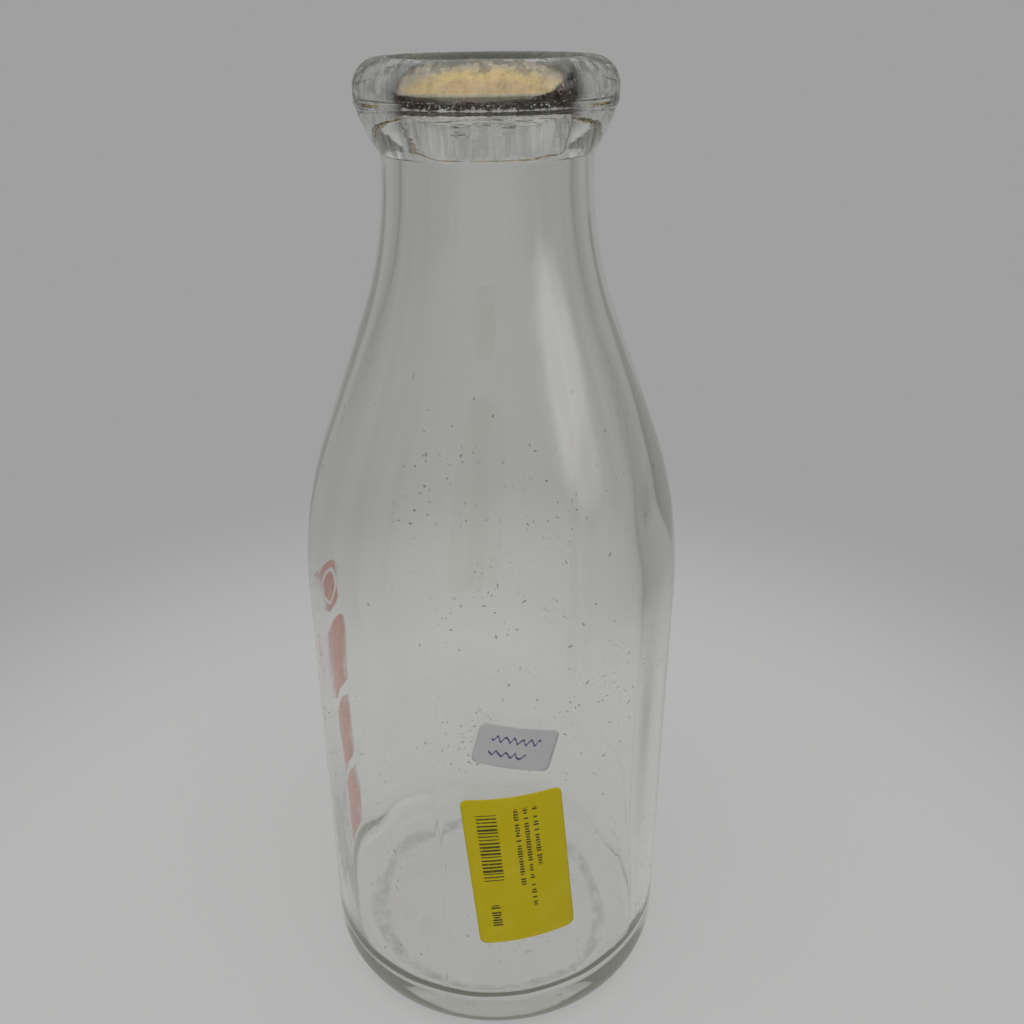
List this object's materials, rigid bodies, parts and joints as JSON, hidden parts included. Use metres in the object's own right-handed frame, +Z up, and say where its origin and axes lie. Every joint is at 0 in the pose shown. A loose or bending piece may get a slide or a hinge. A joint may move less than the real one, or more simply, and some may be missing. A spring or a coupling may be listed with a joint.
{
  "type": "milk bottle",
  "caption": "Round clear glass milk bottle with a bead lip, sloping shoulder, paper disc cap seated in the mouth, enamel side print and stuck-on paper labels.",
  "frame": {"origin": "centre of the base, on the surface that the bottle stands on", "axes": "+Z up along the bottle's axis towards the mouth, -Y towards the front, where the paper labels are"},
  "size_m": [0.0986, 0.0988, 0.254],
  "materials": {
    "clear_glass": "clear, slightly wavy, scuffed",
    "waxed_card": "waxed, stained dark at the edge",
    "red_enamel": "fired gloss enamel, worn",
    "yellow_paper": "satin coated",
    "white_paper": "matte"
  },
  "bodies": {
    "bottle": {"glass_bottle": "clear_glass", "enamel_print": "red_enamel", "price_label": "yellow_paper", "note_label": "white_paper"},
    "cap": {"disc_cap": "waxed_card"}
  },
  "joints": [
    {"name": "cap_lift", "type": "slide", "parent": "bottle", "child": "cap", "axis": [0, 0, 1], "range_m": [0, 0.04]}
  ]
}
